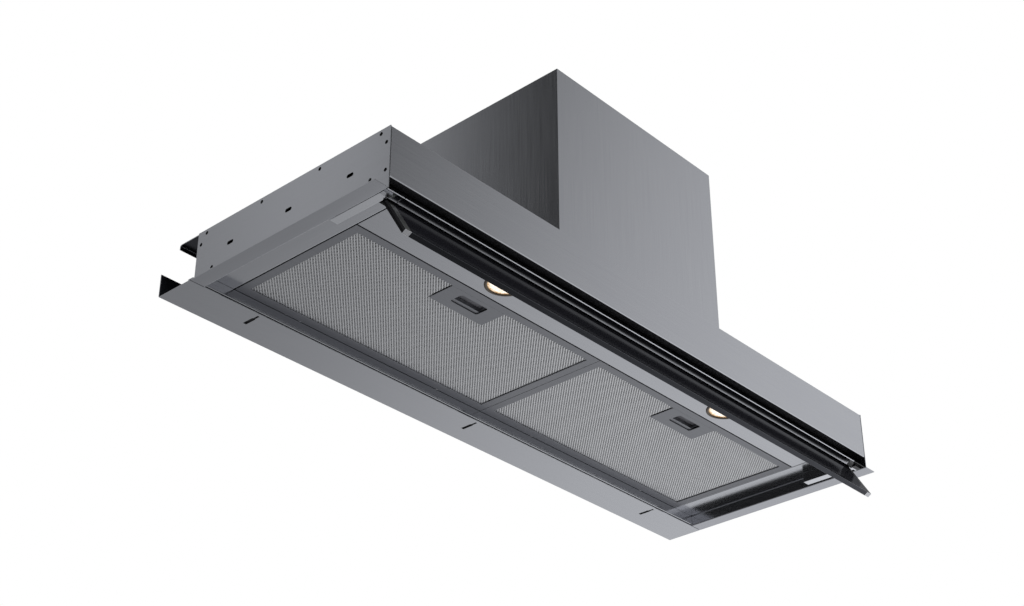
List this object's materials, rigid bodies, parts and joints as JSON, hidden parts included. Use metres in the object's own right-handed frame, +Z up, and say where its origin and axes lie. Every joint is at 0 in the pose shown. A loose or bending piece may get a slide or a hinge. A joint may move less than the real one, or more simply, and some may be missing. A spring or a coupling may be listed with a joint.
{
  "type": "built-in range hood",
  "caption": "Built-in range hood with a recessed underside, two mesh filters, two lamps, a tilting glass flap and a blower box on top.",
  "frame": {"origin": "on the wall behind the hood, half way along its width and half way up the strip's upturned flange", "axes": "+X along the width to the right seen from the room, +Y from the room to the wall, +Z up"},
  "size_m": [0.898, 0.3462, 0.4137],
  "materials": {
    "end_panel_left": "brushed stainless steel",
    "end_panel_right": "brushed stainless steel",
    "fascia": "brushed stainless steel",
    "top_plate": "plain zinc-coated sheet",
    "rear_wall": "plain zinc-coated sheet",
    "light_bar": "brushed stainless steel",
    "side_bar_left": "brushed stainless steel",
    "side_bar_right": "brushed stainless steel",
    "flap_trough": "matt black paint",
    "front_rail": "satin anodised",
    "rail_corner_left": "satin anodised",
    "rail_corner_right": "satin anodised",
    "hinge_block_left": "matt black",
    "hinge_block_right": "matt black",
    "hinge_cover_left": "brushed stainless steel",
    "hinge_cover_right": "brushed stainless steel",
    "lamp_bezel_left": "dark bronze-grey satin ring",
    "lamp_bezel_right": "dark bronze-grey satin ring",
    "lamp_lens_left": "frosted, lit warm white",
    "lamp_lens_right": "frosted, lit warm white",
    "lamp_modules": "cast heat sink",
    "blower_housing": "plain zinc-coated sheet",
    "duct_collar": "dark grey",
    "damper_spindle": "drawn wire",
    "fan_scroll": "dark grey",
    "motor": "grey paint",
    "motor_bracket": "plain zinc-coated sheet",
    "control_box": "plain zinc-coated sheet",
    "control_box_lid": "plain zinc-coated sheet",
    "power_board": "green board",
    "cable_gland": "matt black",
    "panel_rivets": "black",
    "housing_screws": "zinc plated",
    "strip_studs": "blackened",
    "rear_strip": "brushed stainless steel",
    "strip_guides": "plain zinc-coated sheet",
    "flap_carrier": "black painted extrusion",
    "flap_glass": "black, polished",
    "flap_edge_strip": "dark satin",
    "flap_end_cap_left": "satin anodised",
    "flap_end_cap_right": "satin anodised",
    "flap_pins": "ground",
    "touch_board": "green board",
    "filter_frame_left": "brushed stainless steel",
    "filter_mesh_left": "woven mesh",
    "filter_pack_left": "corrugated sheet",
    "filter_grip_left": "brushed stainless steel",
    "filter_latch_left": "brushed stainless steel",
    "latch_spring_left": "spring steel",
    "filter_frame_right": "brushed stainless steel",
    "filter_mesh_right": "woven mesh",
    "filter_pack_right": "corrugated sheet",
    "filter_grip_right": "brushed stainless steel",
    "filter_latch_right": "brushed stainless steel",
    "latch_spring_right": "spring steel",
    "impeller": "grey",
    "fan_shaft": "ground",
    "damper_left": "grey",
    "damper_right": "grey"
  },
  "bodies": {
    "hood": {"end_panel_left": "end_panel_left", "end_panel_right": "end_panel_right", "fascia": "fascia", "top_plate": "top_plate", "rear_wall": "rear_wall", "light_bar": "light_bar", "side_bar_left": "side_bar_left", "side_bar_right": "side_bar_right", "flap_trough": "flap_trough", "front_rail": "front_rail", "rail_corner_left": "rail_corner_left", "rail_corner_right": "rail_corner_right", "hinge_block_left": "hinge_block_left", "hinge_block_right": "hinge_block_right", "hinge_cover_left": "hinge_cover_left", "hinge_cover_right": "hinge_cover_right", "lamp_bezel_left": "lamp_bezel_left", "lamp_bezel_right": "lamp_bezel_right", "lamp_lens_left": "lamp_lens_left", "lamp_lens_right": "lamp_lens_right", "lamp_modules": "lamp_modules", "blower_housing": "blower_housing", "duct_collar": "duct_collar", "damper_spindle": "damper_spindle", "fan_scroll": "fan_scroll", "motor": "motor", "motor_bracket": "motor_bracket", "control_box": "control_box", "control_box_lid": "control_box_lid", "power_board": "power_board", "cable_gland": "cable_gland", "panel_rivets": "panel_rivets", "housing_screws": "housing_screws", "strip_studs": "strip_studs"},
    "strip": {"rear_strip": "rear_strip", "strip_guides": "strip_guides"},
    "flap": {"flap_carrier": "flap_carrier", "flap_glass": "flap_glass", "flap_edge_strip": "flap_edge_strip", "flap_end_cap_left": "flap_end_cap_left", "flap_end_cap_right": "flap_end_cap_right", "flap_pins": "flap_pins", "touch_board": "touch_board"},
    "fan": {"impeller": "impeller", "fan_shaft": "fan_shaft"},
    "damper_left": {"damper_left": "damper_left"},
    "damper_right": {"damper_right": "damper_right"},
    "filter_left": {"filter_frame_left": "filter_frame_left", "filter_mesh_left": "filter_mesh_left", "filter_pack_left": "filter_pack_left", "filter_grip_left": "filter_grip_left", "latch_spring_left": "latch_spring_left"},
    "latch_left": {"filter_latch_left": "filter_latch_left"},
    "filter_right": {"filter_frame_right": "filter_frame_right", "filter_mesh_right": "filter_mesh_right", "filter_pack_right": "filter_pack_right", "filter_grip_right": "filter_grip_right", "latch_spring_right": "latch_spring_right"},
    "latch_right": {"filter_latch_right": "filter_latch_right"}
  },
  "joints": [
    {"name": "flap_tilt", "type": "hinge", "parent": "hood", "child": "flap", "pos_m": [0, -0.3105, -0.0093], "axis": [1, 0, 0], "range_deg": [0, 120.8]},
    {"name": "filter_drop_left", "type": "hinge", "parent": "hood", "child": "filter_left", "pos_m": [-0.19515, -0.0574, 0.0005], "axis": [1, 0, 0], "range_deg": [0, 40]},
    {"name": "latch_pull_left", "type": "slide", "parent": "filter_left", "child": "latch_left", "axis": [0, 1, 0], "range_m": [0, 0.005], "stiffness_N_per_m": 400, "springref_m": -0.004, "deforming": ["latch_spring_left"]},
    {"name": "filter_drop_right", "type": "hinge", "parent": "hood", "child": "filter_right", "pos_m": [0.19515, -0.0574, 0.0005], "axis": [1, 0, 0], "range_deg": [0, 40]},
    {"name": "latch_pull_right", "type": "slide", "parent": "filter_right", "child": "latch_right", "axis": [0, 1, 0], "range_m": [0, 0.005], "stiffness_N_per_m": 400, "springref_m": -0.004, "deforming": ["latch_spring_right"]},
    {"name": "strip_reach", "type": "slide", "parent": "hood", "child": "strip", "axis": [0, 1, 0], "range_m": [0, 0.015]},
    {"name": "fan_spin", "type": "hinge", "parent": "hood", "child": "fan", "pos_m": [0, -0.225, 0.1705], "axis": [1, 0, 0], "continuous": true},
    {"name": "damper_lift_left", "type": "hinge", "parent": "hood", "child": "damper_left", "pos_m": [0, -0.17633, 0.3152], "axis": [0, 1, 0], "range_deg": [0, 75]},
    {"name": "damper_lift_right", "type": "hinge", "parent": "hood", "child": "damper_right", "pos_m": [0, -0.17633, 0.3152], "axis": [0, -1, 0], "range_deg": [0, 75]}
  ]
}
